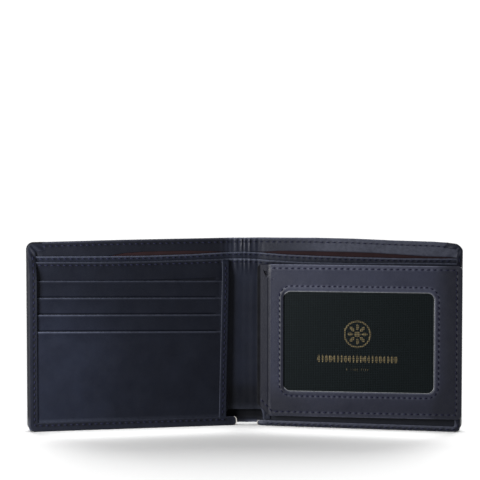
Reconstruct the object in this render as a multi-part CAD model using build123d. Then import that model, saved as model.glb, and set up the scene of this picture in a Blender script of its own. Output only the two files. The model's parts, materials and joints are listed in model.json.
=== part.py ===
from build123d import *
import os
from math import cos, radians, sin

# A leather billfold that stands open in a shallow V. Two long halves fold about a
# narrow two-strip spine, and a third leaf, a windowed ID flap, turns like a page on
# the right half. An insert card slides in the flap behind a mesh window.
#
# Every flat piece is drawn in the frame of its own half and then placed:
#   u  outward from the crease to the tip,  z  up,
#   v  inward from the outer face of the cover, towards the person reading it.
# Origin: centre of the bounding box in X and Y, bottom edge at Z = 0. -Y is the front.

# ---- driving dimensions, mm ----
HEIGHT = 93.0
HALF_LENGTH = 101.6            # crease to tip
SPINE_STRIP = 7.0              # width of each of the two spine strips
OPEN_ANGLE = 11.5              # each half stands this far forward of flat, degrees
CREASE_DEPTH = 2.6             # the creases run this deep under the cover's outer face
TIP_RADIUS = 3.5

COVER_T = 0.9
LEATHER_T = 0.6
POCKET_T = 0.45
LAYER_GAP = 0.05

LINING_V = 0.95
LINING_T = 0.17
HEM_V = 1.15
HEM_T = 0.5
DIVIDER_V = 1.8
PANEL_V = 3.0
POCKETS_V = PANEL_V + LEATHER_T + LAYER_GAP
POCKET_COUNT = 4
BORDER_V = POCKETS_V + POCKET_COUNT * (POCKET_T + LAYER_GAP)
BORDER_T = 0.55
BORDER_FACE = BORDER_V + BORDER_T

HEM_HEIGHT = 5.2
DIVIDER_TOP = HEIGHT - 6.5
PANEL_TOP = HEIGHT - 9.4
FIRST_SLOT_TOP = 73.7
SLOT_PITCH = 8.35
SPINE_COVER_BOTTOM = 0.8
SPINE_PANEL_BOTTOM = 7.7

WALL = 0.6                     # turned leather edge along the tip and the bottom
BORDER_WIDTH = 4.5
STRIP_START = 2.7
STRIP_WIDTH = 3.9
COVER_RELIEF = 0.15            # from a crease, for layers behind its axis
PANEL_RELIEF = 0.7             # from a crease, for layers in front of its axis

# ID flap
FLAP_START = 0.65
FLAP_BODY_START = 4.4
FLAP_END = 102.6
FLAP_BOTTOM = 6.1
FLAP_TOP = 81.9
FLAP_RADIUS = 2.2
FLAP_CHAMFER = 6.0             # cut across the corner at the bottom of the hinge side
FLAP_BASE_V = 7.95
FLAP_POCKET_COUNT = 3
FLAP_FRAME_V = 9.3
FLAP_FRAME_T = 0.7
FLAP_FACE = FLAP_FRAME_V + FLAP_FRAME_T
FLAP_RIM = 0.7

WINDOW_START = 14.9
WINDOW_END = 88.8
WINDOW_BOTTOM = 19.0
WINDOW_TOP = 68.3
WINDOW_RADIUS = 3.5
MESH_V = 9.1
MESH_T = 0.15
PIPING_WIDTH = 0.5

HINGE_ROLL_END = 4.3
HINGE_ROLL_TOP = 80.8
HINGE_WALL_V = 7.6

CARD_START = 8.5
CARD_WIDTH = 88.0
CARD_BOTTOM = 9.0
CARD_HEIGHT = 65.0
CARD_V = 8.65
CARD_T = 0.35
FOIL_T = 0.04
PRINT_CENTRE = 50.8

# stitching, shown as a thin raised band along each seam
THREAD_WIDTH = 0.45
THREAD_T = 0.1

# ---- values worked out from the above ----
TURN = radians(OPEN_ANGLE)
FRONT_REACH = FLAP_END * sin(TURN) + (FLAP_FACE - CREASE_DEPTH) * cos(TURN)
CREASE_Y = (FRONT_REACH - CREASE_DEPTH) / 2
TIP_WALL = HALF_LENGTH - WALL
BORDER_EDGE = HALF_LENGTH - BORDER_WIDTH
STRIP_END = STRIP_START + STRIP_WIDTH


# ---- drawing helpers ----
def rectangle(u0, u1, z0, z1):
    return Pos((u0 + u1) / 2, (z0 + z1) / 2) * Rectangle(u1 - u0, z1 - z0)


def tip_rounded(u0, u1, z0, z1, radius):
    """Rectangle with its two corners at the tip end rounded."""
    face = rectangle(u0, u1, z0, z1)
    return fillet(face.vertices().sort_by(Axis.X)[-2:], radius)


def all_rounded(u0, u1, z0, z1, radius):
    face = rectangle(u0, u1, z0, z1)
    return fillet(face.vertices(), radius)


def layer(outline, v0, thickness):
    """A flat piece with this outline, from depth v0 inward."""
    return extrude(Plane.XZ.offset(v0 - CREASE_DEPTH) * outline, thickness)


def on_right(piece):
    return Pos(SPINE_STRIP, CREASE_Y, 0) * Rot(0, 0, -OPEN_ANGLE) * piece


def on_left(piece):
    return mirror(on_right(piece), about=Plane.YZ)


def on_spine_right(piece):
    return Pos(0, CREASE_Y, 0) * piece


def on_spine_left(piece):
    return mirror(on_spine_right(piece), about=Plane.YZ)


# ---- the shell and the bill compartment, for one half ----
def half_cover():
    return layer(tip_rounded(COVER_RELIEF, HALF_LENGTH, 0, HEIGHT, TIP_RADIUS), 0, COVER_T)


def half_lining():
    outline = rectangle(COVER_RELIEF, TIP_WALL - 0.1, WALL + 0.1, HEIGHT - 4)
    return layer(outline, LINING_V, LINING_T)


def half_top_hem():
    outline = rectangle(COVER_RELIEF, TIP_WALL - TIP_RADIUS, HEIGHT - HEM_HEIGHT, HEIGHT)
    return layer(outline, HEM_V, HEM_T)


def half_divider():
    outline = rectangle(COVER_RELIEF, TIP_WALL - 0.1, WALL + 0.1, DIVIDER_TOP)
    return layer(outline, DIVIDER_V, LEATHER_T)


def half_panel():
    outline = rectangle(PANEL_RELIEF, TIP_WALL - 0.1, WALL + 0.1, PANEL_TOP)
    return layer(outline, PANEL_V, LEATHER_T)


def half_card_pocket(number):
    """Card pocket sheets are stacked; number 1 is the rearmost, with the highest mouth."""
    top = FIRST_SLOT_TOP - (number - 1) * SLOT_PITCH
    v0 = POCKETS_V + (number - 1) * (POCKET_T + LAYER_GAP)
    outline = rectangle(STRIP_START + WALL + 0.1, TIP_WALL - 0.1, WALL + 0.1, top)
    return layer(outline, v0, POCKET_T)


def half_inner_strip():
    """Binding along the crease side of the pockets: a face strip and its turned edge."""
    face = layer(
        rectangle(STRIP_START, STRIP_END, BORDER_WIDTH, PANEL_TOP), BORDER_V, BORDER_T
    )
    edge = layer(
        rectangle(STRIP_START, STRIP_START + WALL, WALL, PANEL_TOP),
        POCKETS_V,
        BORDER_V - POCKETS_V,
    )
    return face + edge


def half_border():
    """The shell's edge turned in along the tip and the bottom, over every layer."""
    outline = tip_rounded(STRIP_START, HALF_LENGTH, 0, HEIGHT, TIP_RADIUS)
    inside_face = rectangle(STRIP_START, BORDER_EDGE, BORDER_WIDTH, HEIGHT)
    face = layer(outline - inside_face, BORDER_V, BORDER_T)
    inside_wall = rectangle(STRIP_START, TIP_WALL, WALL, HEIGHT)
    wall = layer(outline - inside_wall, COVER_T, BORDER_V - COVER_T)
    mouth = layer(
        rectangle(STRIP_START, HALF_LENGTH, HEIGHT - TIP_RADIUS, HEIGHT),
        COVER_T,
        BORDER_V - COVER_T,
    )
    return face + (wall - mouth)


# ---- the same layers on one spine strip ----
def spine_layer(relief, z0, z1, v0, thickness):
    return layer(rectangle(relief, SPINE_STRIP - relief, z0, z1), v0, thickness)


def spine_cover():
    return spine_layer(COVER_RELIEF, SPINE_COVER_BOTTOM, HEIGHT, 0, COVER_T)


def spine_lining():
    return spine_layer(COVER_RELIEF, SPINE_COVER_BOTTOM, HEIGHT - 4, LINING_V, LINING_T)


def spine_top_hem():
    return spine_layer(COVER_RELIEF, HEIGHT - HEM_HEIGHT, HEIGHT, HEM_V, HEM_T)


def spine_divider():
    return spine_layer(COVER_RELIEF, SPINE_PANEL_BOTTOM, DIVIDER_TOP, DIVIDER_V, LEATHER_T)


def spine_panel():
    return spine_layer(PANEL_RELIEF, SPINE_PANEL_BOTTOM, PANEL_TOP, PANEL_V, LEATHER_T)


# ---- the ID flap ----
def flap_outline():
    """Body of the flap: rounded free corners, the hinge-side bottom corner cut away."""
    face = tip_rounded(FLAP_BODY_START, FLAP_END, FLAP_BOTTOM, FLAP_TOP, FLAP_RADIUS)
    corner = face.vertices().sort_by(Axis.X)[:2].sort_by(Axis.Y)[0]
    return chamfer(corner, FLAP_CHAMFER - (FLAP_BODY_START - FLAP_START))


def flap_base():
    return layer(flap_outline(), FLAP_BASE_V, LEATHER_T)


def flap_frame():
    """Front leather with the window, and the turned rim that closes three sides."""
    window = all_rounded(WINDOW_START, WINDOW_END, WINDOW_BOTTOM, WINDOW_TOP, WINDOW_RADIUS)
    front = layer(flap_outline() - window, FLAP_FRAME_V, FLAP_FRAME_T)
    card_space = offset(flap_outline(), -FLAP_RIM, kind=Kind.INTERSECTION)
    mouth = rectangle(
        FLAP_BODY_START + FLAP_RIM, FLAP_END - FLAP_RIM, FLAP_TOP - 2 * FLAP_RIM, FLAP_TOP
    )
    rim = flap_outline() - card_space - mouth
    base_face = FLAP_BASE_V + LEATHER_T
    return front + layer(rim, base_face, FLAP_FRAME_V - base_face)


def window_piping():
    outer = all_rounded(WINDOW_START, WINDOW_END, WINDOW_BOTTOM, WINDOW_TOP, WINDOW_RADIUS)
    inner = all_rounded(
        WINDOW_START + PIPING_WIDTH,
        WINDOW_END - PIPING_WIDTH,
        WINDOW_BOTTOM + PIPING_WIDTH,
        WINDOW_TOP - PIPING_WIDTH,
        WINDOW_RADIUS - PIPING_WIDTH,
    )
    return layer(outer - inner, FLAP_FRAME_V, FLAP_FRAME_T - 0.2)


def window_mesh():
    margin = 2.0
    outline = all_rounded(
        WINDOW_START - margin,
        WINDOW_END + margin,
        WINDOW_BOTTOM - margin,
        WINDOW_TOP + margin,
        WINDOW_RADIUS,
    )
    return layer(outline, MESH_V, MESH_T)


def flap_back_pocket(number):
    """Card pocket sheets on the back of the flap; number 1 lies against the base."""
    top = FIRST_SLOT_TOP - (number - 1) * SLOT_PITCH
    v0 = FLAP_BASE_V - number * (POCKET_T + LAYER_GAP)
    outline = rectangle(FLAP_BODY_START + FLAP_CHAMFER, FLAP_END - 4, FLAP_BOTTOM + 1, top)
    return layer(outline, v0, POCKET_T)


def flap_hinge_roll():
    """The rolled fold on the hinge side of the flap, half an ellipse in section."""
    half_width = (HINGE_ROLL_END - FLAP_START) / 2
    centre = FLAP_START + half_width
    back = CREASE_DEPTH - FLAP_BASE_V
    section = Pos(centre, back) * Ellipse(half_width, FLAP_FACE - 0.1 - FLAP_BASE_V)
    section -= Pos(centre, back + 5) * Rectangle(10, 10)
    roll = extrude(Plane.XY.offset(FLAP_BOTTOM) * section, HINGE_ROLL_TOP - FLAP_BOTTOM)
    corner = Polygon(
        (FLAP_START, FLAP_BOTTOM),
        (FLAP_START + FLAP_CHAMFER, FLAP_BOTTOM),
        (FLAP_START, FLAP_BOTTOM + FLAP_CHAMFER),
        align=None,
    )
    return roll - layer(corner, FLAP_BASE_V - 1, 4)


def flap_hinge_root():
    """The leather that rises from the panel to carry the rolled fold."""
    low = FLAP_BOTTOM + FLAP_CHAMFER + 1.5
    high = HINGE_ROLL_TOP - 1.5
    foot = layer(rectangle(1.0, STRIP_START - 0.1, low, high), POCKETS_V, LEATHER_T)
    wall = layer(rectangle(1.0, 1.6, low, high), POCKETS_V, HINGE_WALL_V - POCKETS_V)
    return foot + wall


# ---- the insert card ----
def id_card():
    outline = all_rounded(
        CARD_START, CARD_START + CARD_WIDTH, CARD_BOTTOM, CARD_BOTTOM + CARD_HEIGHT, 2.0
    )
    return layer(outline, CARD_V, CARD_T)


def id_card_foil():
    """Plain printed decoration: a ringed disc, and two bars under it."""
    middle, ring_z = PRINT_CENTRE, 47.5
    ring = Pos(middle, ring_z) * (Circle(6.8) - Circle(6.0))
    disc = Pos(middle, ring_z) * Circle(3.2)
    bars = [
        rectangle(middle - 20, middle + 20, 33.2, 37.2),
        rectangle(middle - 5.5, middle + 5.5, 29.4, 30.4),
    ]
    return [layer(shape, CARD_V + CARD_T, FOIL_T) for shape in (ring, disc, *bars)]


# ---- stitching ----
def stitch_bar(u0, u1, z0, z1, v0):
    """A band of stitching: give the same u twice, or the same z twice, for its line."""
    half = THREAD_WIDTH / 2
    return layer(rectangle(u0 - half, u1 + half, z0 - half, z1 + half), v0, THREAD_T)


def border_thread():
    u = HALF_LENGTH - 3.0
    z = 3.0
    tip = stitch_bar(u, u, z, HEIGHT - 5, BORDER_FACE)
    return tip + stitch_bar(STRIP_END + 0.5, u, z, z, BORDER_FACE)


def inner_strip_thread():
    u = STRIP_START + STRIP_WIDTH / 2
    return stitch_bar(u, u, BORDER_WIDTH, PANEL_TOP - 1.5, BORDER_FACE)


def panel_top_thread():
    z = PANEL_TOP - 1.7
    return stitch_bar(STRIP_END + 0.5, BORDER_EDGE - 0.5, z, z, PANEL_V + LEATHER_T)


def hem_thread():
    z = HEIGHT - 2.0
    return stitch_bar(COVER_RELIEF + 0.5, BORDER_EDGE - 0.5, z, z, HEM_V + HEM_T)


def flap_outer_thread():
    left = FLAP_BODY_START + 0.6
    right = FLAP_END - 2.7
    top = FLAP_TOP - 2.0
    bottom = FLAP_BOTTOM + 2.0
    line = stitch_bar(left, right, top, top, FLAP_FACE)
    line += stitch_bar(right, right, bottom, top, FLAP_FACE)
    return line + stitch_bar(left + 3, right, bottom, bottom, FLAP_FACE)


def window_thread():
    reach = 2.75
    outer = all_rounded(
        WINDOW_START - reach - THREAD_WIDTH / 2,
        WINDOW_END + reach + THREAD_WIDTH / 2,
        WINDOW_BOTTOM - reach - THREAD_WIDTH / 2,
        WINDOW_TOP + reach + THREAD_WIDTH / 2,
        WINDOW_RADIUS + reach,
    )
    return layer(outer - offset(outer, -THREAD_WIDTH), FLAP_FACE, THREAD_T)


# ---- assembly: node name -> placed solid or solids ----
def half_nodes(side, place):
    pieces = {
        "cover": half_cover(),
        "lining": half_lining(),
        "top_hem": half_top_hem(),
        "bill_divider": half_divider(),
        "inner_panel": half_panel(),
        "inner_strip": half_inner_strip(),
        "edge_border": half_border(),
        "thread_border": border_thread(),
        "thread_inner_strip": inner_strip_thread(),
        "thread_panel_top": panel_top_thread(),
        "thread_hem": hem_thread(),
    }
    for number in range(1, POCKET_COUNT + 1):
        pieces[f"card_pocket_{number}"] = half_card_pocket(number)
    return {f"{name}_{side}": place(piece) for name, piece in pieces.items()}


def spine_nodes(side, place):
    pieces = {
        "spine_cover": spine_cover(),
        "spine_lining": spine_lining(),
        "spine_top_hem": spine_top_hem(),
        "spine_divider": spine_divider(),
        "spine_panel": spine_panel(),
    }
    return {f"{name}_{side}": place(piece) for name, piece in pieces.items()}


def flap_nodes():
    pieces = {
        "flap_hinge_root": flap_hinge_root(),
        "flap_hinge_roll": flap_hinge_roll(),
        "flap_base": flap_base(),
        "flap_frame": flap_frame(),
        "window_piping": window_piping(),
        "window_mesh": window_mesh(),
        "thread_flap_outer": flap_outer_thread(),
        "thread_window": window_thread(),
        "id_card": id_card(),
    }
    for number in range(1, FLAP_POCKET_COUNT + 1):
        pieces[f"flap_back_pocket_{number}"] = flap_back_pocket(number)
    nodes = {name: on_right(piece) for name, piece in pieces.items()}
    nodes["id_card_foil"] = Compound([on_right(shape) for shape in id_card_foil()])
    return nodes


def build():
    nodes = {}
    nodes.update(half_nodes("right", on_right))
    nodes.update(half_nodes("left", on_left))
    nodes.update(spine_nodes("right", on_spine_right))
    nodes.update(spine_nodes("left", on_spine_left))
    nodes.update(flap_nodes())
    return nodes


os.makedirs("parts", exist_ok=True)
for node_name, node_shape in build().items():
    export_step(node_shape, f"parts/{node_name}.step")
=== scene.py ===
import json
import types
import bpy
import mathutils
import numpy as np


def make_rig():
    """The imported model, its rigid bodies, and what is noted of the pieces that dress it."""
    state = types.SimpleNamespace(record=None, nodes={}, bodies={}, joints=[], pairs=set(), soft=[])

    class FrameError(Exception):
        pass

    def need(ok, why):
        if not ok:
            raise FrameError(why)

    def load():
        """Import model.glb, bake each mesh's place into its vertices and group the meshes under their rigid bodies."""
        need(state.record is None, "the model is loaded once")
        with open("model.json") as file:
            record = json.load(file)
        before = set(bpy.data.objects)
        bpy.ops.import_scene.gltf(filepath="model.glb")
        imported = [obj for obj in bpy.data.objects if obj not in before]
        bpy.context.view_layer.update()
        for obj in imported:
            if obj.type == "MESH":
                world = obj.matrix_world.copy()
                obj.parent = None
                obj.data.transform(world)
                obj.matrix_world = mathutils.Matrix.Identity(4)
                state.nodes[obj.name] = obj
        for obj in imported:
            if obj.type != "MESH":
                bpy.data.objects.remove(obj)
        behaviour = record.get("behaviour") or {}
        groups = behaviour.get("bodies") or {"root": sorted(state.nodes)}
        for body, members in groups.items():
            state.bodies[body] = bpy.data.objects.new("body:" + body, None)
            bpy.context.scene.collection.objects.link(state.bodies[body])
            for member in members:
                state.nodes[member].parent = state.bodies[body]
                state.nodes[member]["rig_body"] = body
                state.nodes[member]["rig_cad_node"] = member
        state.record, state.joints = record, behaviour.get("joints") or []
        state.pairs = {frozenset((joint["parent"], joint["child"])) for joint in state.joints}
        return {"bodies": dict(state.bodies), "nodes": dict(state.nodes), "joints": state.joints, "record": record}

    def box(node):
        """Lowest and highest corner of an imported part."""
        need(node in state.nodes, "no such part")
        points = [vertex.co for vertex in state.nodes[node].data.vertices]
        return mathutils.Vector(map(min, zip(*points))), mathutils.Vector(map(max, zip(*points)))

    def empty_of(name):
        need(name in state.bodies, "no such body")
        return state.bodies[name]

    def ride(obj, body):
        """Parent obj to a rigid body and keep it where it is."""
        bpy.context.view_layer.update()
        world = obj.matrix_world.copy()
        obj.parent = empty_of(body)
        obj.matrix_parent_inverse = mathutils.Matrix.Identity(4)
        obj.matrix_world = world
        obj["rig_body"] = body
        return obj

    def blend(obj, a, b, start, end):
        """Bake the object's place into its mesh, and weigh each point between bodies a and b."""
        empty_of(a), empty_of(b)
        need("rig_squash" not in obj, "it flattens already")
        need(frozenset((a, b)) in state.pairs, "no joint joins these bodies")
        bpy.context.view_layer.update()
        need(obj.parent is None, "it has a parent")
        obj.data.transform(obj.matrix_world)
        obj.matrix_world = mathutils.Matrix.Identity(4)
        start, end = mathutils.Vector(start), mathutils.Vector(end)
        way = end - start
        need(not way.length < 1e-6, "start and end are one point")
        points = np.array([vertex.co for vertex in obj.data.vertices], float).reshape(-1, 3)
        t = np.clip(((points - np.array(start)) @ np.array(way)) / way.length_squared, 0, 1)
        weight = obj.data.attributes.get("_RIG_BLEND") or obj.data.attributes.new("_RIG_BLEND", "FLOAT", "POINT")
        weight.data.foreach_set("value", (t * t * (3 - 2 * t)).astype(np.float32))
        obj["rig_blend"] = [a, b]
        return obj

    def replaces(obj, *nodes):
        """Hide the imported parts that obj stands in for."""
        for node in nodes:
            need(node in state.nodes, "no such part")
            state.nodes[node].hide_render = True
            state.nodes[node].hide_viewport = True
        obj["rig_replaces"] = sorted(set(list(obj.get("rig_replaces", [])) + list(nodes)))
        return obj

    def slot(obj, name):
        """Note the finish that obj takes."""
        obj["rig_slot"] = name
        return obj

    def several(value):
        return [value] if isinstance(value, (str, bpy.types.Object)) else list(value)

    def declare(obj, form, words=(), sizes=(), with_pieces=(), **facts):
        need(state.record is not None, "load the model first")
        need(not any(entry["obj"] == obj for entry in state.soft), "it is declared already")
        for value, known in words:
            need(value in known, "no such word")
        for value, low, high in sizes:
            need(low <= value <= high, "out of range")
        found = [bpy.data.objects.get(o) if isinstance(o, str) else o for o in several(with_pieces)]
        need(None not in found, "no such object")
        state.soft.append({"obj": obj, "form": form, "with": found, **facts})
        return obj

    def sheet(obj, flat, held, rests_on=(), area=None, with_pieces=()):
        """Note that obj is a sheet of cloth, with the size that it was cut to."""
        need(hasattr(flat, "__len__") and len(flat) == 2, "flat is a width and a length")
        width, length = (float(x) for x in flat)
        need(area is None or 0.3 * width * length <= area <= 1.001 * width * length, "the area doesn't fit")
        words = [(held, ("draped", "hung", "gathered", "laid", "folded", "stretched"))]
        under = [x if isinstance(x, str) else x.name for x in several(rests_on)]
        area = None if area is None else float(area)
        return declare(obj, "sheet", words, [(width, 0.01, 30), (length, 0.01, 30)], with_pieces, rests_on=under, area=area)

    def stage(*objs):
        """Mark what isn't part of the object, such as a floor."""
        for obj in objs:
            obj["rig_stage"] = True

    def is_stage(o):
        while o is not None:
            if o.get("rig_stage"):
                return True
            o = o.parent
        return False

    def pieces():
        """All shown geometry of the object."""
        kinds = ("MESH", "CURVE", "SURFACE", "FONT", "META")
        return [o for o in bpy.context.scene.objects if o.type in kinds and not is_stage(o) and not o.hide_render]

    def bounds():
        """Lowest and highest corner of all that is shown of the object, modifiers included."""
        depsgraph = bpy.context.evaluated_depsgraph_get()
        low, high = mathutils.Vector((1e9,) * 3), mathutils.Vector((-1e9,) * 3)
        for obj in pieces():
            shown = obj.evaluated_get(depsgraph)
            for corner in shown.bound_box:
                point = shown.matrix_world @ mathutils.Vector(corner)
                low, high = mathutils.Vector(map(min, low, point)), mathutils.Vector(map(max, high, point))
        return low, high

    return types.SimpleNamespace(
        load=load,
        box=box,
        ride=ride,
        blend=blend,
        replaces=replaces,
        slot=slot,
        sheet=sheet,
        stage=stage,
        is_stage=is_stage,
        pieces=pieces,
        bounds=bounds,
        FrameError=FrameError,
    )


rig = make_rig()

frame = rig.load()

import json
import math

import bmesh
import bpy
import numpy as np
from mathutils import Vector

cad_low, cad_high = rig.bounds()

# ---- Driving sizes, in millimetres ----
# Everything is laid out flat and then bent:
#   x  distance from the middle of the spine, negative on the left; t is |x|
#   u  distance outward from a crease, so t = SPINE + u
#   v  inward from the cover's outer face, towards the person reading it
#   z  up
MM = 0.001
joints = {j["name"]: j for j in frame["joints"]}
mounts = {m["name"]: m for m in frame["record"]["mounts"]}
SPINE = joints["crease_right"]["pos_m"][0] / MM
CREASE_Y = joints["crease_right"]["pos_m"][1] / MM
OPEN = math.atan2(*mounts["right_cover_face"]["axis"][:2])
HEIGHT = cad_high.z / MM
CREASE_DEPTH = 2.6
TIP = (cad_high.x / MM - SPINE - CREASE_DEPTH * math.sin(OPEN)) / math.cos(OPEN)
BEND = 3.0                       # a crease bends over this far on each side
SHELL_END = SPINE + TIP          # the tip, in t
SEAM_T = SPINE / 2               # where the pieces over the spine meet those of the halves
TIP_RADIUS = 3.5


def top_of(node):
    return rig.box(node)[1].z / MM


def bottom_of(node):
    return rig.box(node)[0].z / MM


COVER_T = 0.9
HEM_V, HEM_HEIGHT = 1.7, HEIGHT - bottom_of("top_hem_right")
LINING_V, LINING_T = 0.95, 0.17
DIVIDER_V, DIVIDER_TOP = 1.8, top_of("bill_divider_right")
PANEL_V, PANEL_TOP = 3.0, top_of("inner_panel_right")
LEATHER_T = 0.6
POCKETS_V, POCKET_T, POCKET_STEP = 3.65, 0.45, 0.5
POCKET_TOPS = [top_of(f"card_pocket_{i}_right") for i in (1, 2, 3, 4)]
BORDER_FACE, BORDER_T, BORDER_WIDTH = 6.2, 0.55, 4.5
BORDER_MIDDLE = 2.2                      # inset of the path its shading follows
WALL = 0.6
STRIP_START, STRIP_END = 2.7, 6.6
SPINE_BOTTOM = bottom_of("spine_cover_right")
SPINE_PANEL_BOTTOM = bottom_of("spine_panel_right")

FLAP_START, FLAP_CREASE, FLAP_END = 0.65, 6.4, 102.6
FLAP_BOTTOM, FLAP_TOP = bottom_of("flap_frame"), top_of("flap_frame")
FLAP_RADIUS, FLAP_CHAMFER = 2.2, 6.0
FLAP_BASE_V, FLAP_FRAME_V, FLAP_FACE = 7.95, 9.3, 10.0
ROLL_V, FRAME_BACK_V, BACKING_T = 9.6, 9.2, 0.55         # fold's front, frame's back on top
ROLL_END = 7.9                           # painted shade covers the rolled fold and its step up to here
FLAP_TILT = 0.012                        # the flap hangs a little askew
WINDOW = (13.9, 89.2, bottom_of("window_piping") - 0.4, top_of("window_piping") + 0.4)
WINDOW_RADIUS = 3.5
HINGE_U, HINGE_V, HINGE_LOW = 0.9, 8.2, 7.6              # axis, and depth of the rim's back

STITCH_PITCH, SPINE_PITCH, WINDOW_PITCH, STRIP_PITCH = 3.06, 2.4, 2.7, 2.85
HEM_SEAM, DIVIDER_SEAM, PANEL_SEAM = 2.1, 1.25, 1.7      # each row of stitches, below its top edge
TURNED_EDGE = 1.9                        # height of the turned edge at a pocket's mouth
WORN_WIDTH = 0.9                         # how far wear reaches in from a sheet's edge
SHARP_ANGLE = math.radians(55)
SIDES = ((-1, "left"), (1, "right"))


# ---- Placing points ----
def smooth(t):
    t = np.clip(t, 0, 1)
    return t * t * (3 - 2 * t)


def unevenness(x, z):
    """The gentle waviness of leather that has been handled, in mm."""
    slow = 0.11 * np.sin(0.061 * x + 0.9) * np.cos(0.071 * z + 0.6)
    quick = 0.05 * np.sin(0.17 * x - 0.11 * z + 2.3)
    return (slow + quick) * smooth((SHELL_END - np.abs(x)) / 12) * smooth(z / 10)


def at_rest(x, v, z):
    """Bends the flat, laid-out shell into its standing V. Takes mm, gives metres."""
    x, v, z = np.broadcast_arrays(*(np.asarray(a, float) for a in (x, v, z)))
    side = np.where(x < 0, -1.0, 1.0)
    turn = OPEN * smooth((np.abs(x) - SPINE + BEND) / (2 * BEND))
    u, w = np.abs(x) - SPINE, v - CREASE_DEPTH + unevenness(x, z)
    px = side * (SPINE + u * np.cos(turn) - w * np.sin(turn))
    py = CREASE_Y - u * np.sin(turn) - w * np.cos(turn)
    return np.stack([px, py, z], -1) * MM


def shell_place(side, warp=None):
    """Placing function of the layers of one half, in (t, v, z)."""
    def place(t, v, z):
        return at_rest(side * t, v, z if warp is None else warp(side * t, z))
    return place


def flap_place(u, v, z, wave=0.05):
    """Placing function of the ID flap, in (u, v, z). Its leather is very slightly wavy."""
    u, v, z = np.broadcast_arrays(*(np.asarray(a, float) for a in (u, v, z)))
    w = v - CREASE_DEPTH + wave * np.sin(0.055 * u + 0.4) * np.sin(0.06 * z + 0.5)
    z = z + FLAP_TILT * (u - 50)
    px = SPINE + u * math.cos(OPEN) - w * math.sin(OPEN)
    py = CREASE_Y - u * math.sin(OPEN) - w * math.cos(OPEN)
    return np.stack([px, py, z], -1) * MM


def card_place(u, v, z):
    """Placing function of the insert card, which is flat so that it slides freely."""
    return flap_place(u, v, z, 0.0)


# ---- Mesh builders ----
def add_to_scene(name, data, location=(0, 0, 0)):
    obj = bpy.data.objects.new(name, data)
    obj.location = location
    bpy.context.scene.collection.objects.link(obj)
    return obj


def make_object(name, points, faces, **attributes):
    mesh = bpy.data.meshes.new(name)
    mesh.from_pydata(np.asarray(points).tolist(), [], faces)
    for key, values in attributes.items():
        attribute = mesh.attributes.new(key, "FLOAT", "POINT")
        attribute.data.foreach_set("value", np.asarray(values, np.float32).ravel())
    bm = bmesh.new()
    bm.from_mesh(mesh)
    bmesh.ops.remove_doubles(bm, verts=bm.verts, dist=2e-6)
    bmesh.ops.dissolve_degenerate(bm, edges=bm.edges, dist=1e-6)
    bmesh.ops.recalc_face_normals(bm, faces=bm.faces)
    for face in bm.faces:
        face.smooth = True
    for edge in bm.edges:
        edge.smooth = edge.calc_face_angle(0.0) < SHARP_ANGLE
    bm.to_mesh(mesh)
    bm.free()
    return add_to_scene(name, mesh)


def grid_faces(index, closed_rows=False, closed_columns=False):
    rows, columns = index.shape
    faces = []
    for i in range(rows if closed_rows else rows - 1):
        a, b = index[i], index[(i + 1) % rows]
        for j in range(columns if closed_columns else columns - 1):
            k = (j + 1) % columns
            faces.append((int(a[j]), int(b[j]), int(b[k]), int(a[k])))
    return faces


def end_caps(index):
    return [tuple(int(i) for i in row) for row in (index[0], index[-1])]


def lines(low, high, step, low_round=0.0, high_round=0.0, fine=()):
    """Grid lines: even ones, closer ones in each rounded edge, and the fine ones asked for."""
    shares = (0.0, 0.03, 0.12, 0.3, 0.6, 1.0)
    start, end = low + low_round, high - high_round
    count = max(1, round((end - start) / step))
    wanted = [low + s * low_round for s in shares] + [high - s * high_round for s in shares]
    wanted += [f for f in fine if start < f < end]
    even = np.linspace(start, end, count + 1)
    wanted += [e for e in even if all(abs(e - f) > 0.4 * step for f in wanted)]
    kept = []
    for value in sorted(wanted):
        if not kept or value - kept[-1] > 1e-3:
            kept.append(value)
    return np.array(kept)


def about(centre, *offsets):
    return [centre + s * o for o in offsets for s in (-1, 1)] + [centre]


def fallen(distance, radius):
    """How far the surface of a rounded edge has fallen at this distance inside it."""
    inside = np.clip(radius - distance, 0, radius)
    return radius - np.sqrt(np.maximum(radius * radius - inside * inside, 0))


def arc(first, last, count):
    """Steps round an edge: 1 - cos, 1 - sin and the wear, which is greatest half way."""
    for angle in np.linspace(first, last, count):
        yield 1 - math.cos(angle), 1 - math.sin(angle), math.sin(2 * angle)


def level(v):
    """A flat face at this depth."""
    return lambda t, z: v + 0 * t


def corner_at(t, z, dt, dz, radius, cut=False):
    """A corner of a sheet at (t, z), pointing to (dt, dz), for squeeze."""
    return t - dt * radius, z - dz * radius, dt, dz, radius, cut


def squeeze(t, z, corner_t, corner_z, dt, dz, radius, cut):
    """Maps a square corner of the grid onto a rounded one, or onto a straight cut."""
    a, b = (t - corner_t) * dt / radius, (z - corner_z) * dz / radius
    inside = (a > 0) & (b > 0)
    a, b = np.where(inside, a, 0), np.where(inside, b, 0)
    if cut:
        na, nb = a * (1 - b / 2), b * (1 - a / 2)
    else:
        na, nb = a * np.sqrt(1 - b * b / 2), b * np.sqrt(1 - a * a / 2)
    return (
        np.where(inside, corner_t + na * radius * dt, t),
        np.where(inside, corner_z + nb * radius * dz, z),
    )


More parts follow.
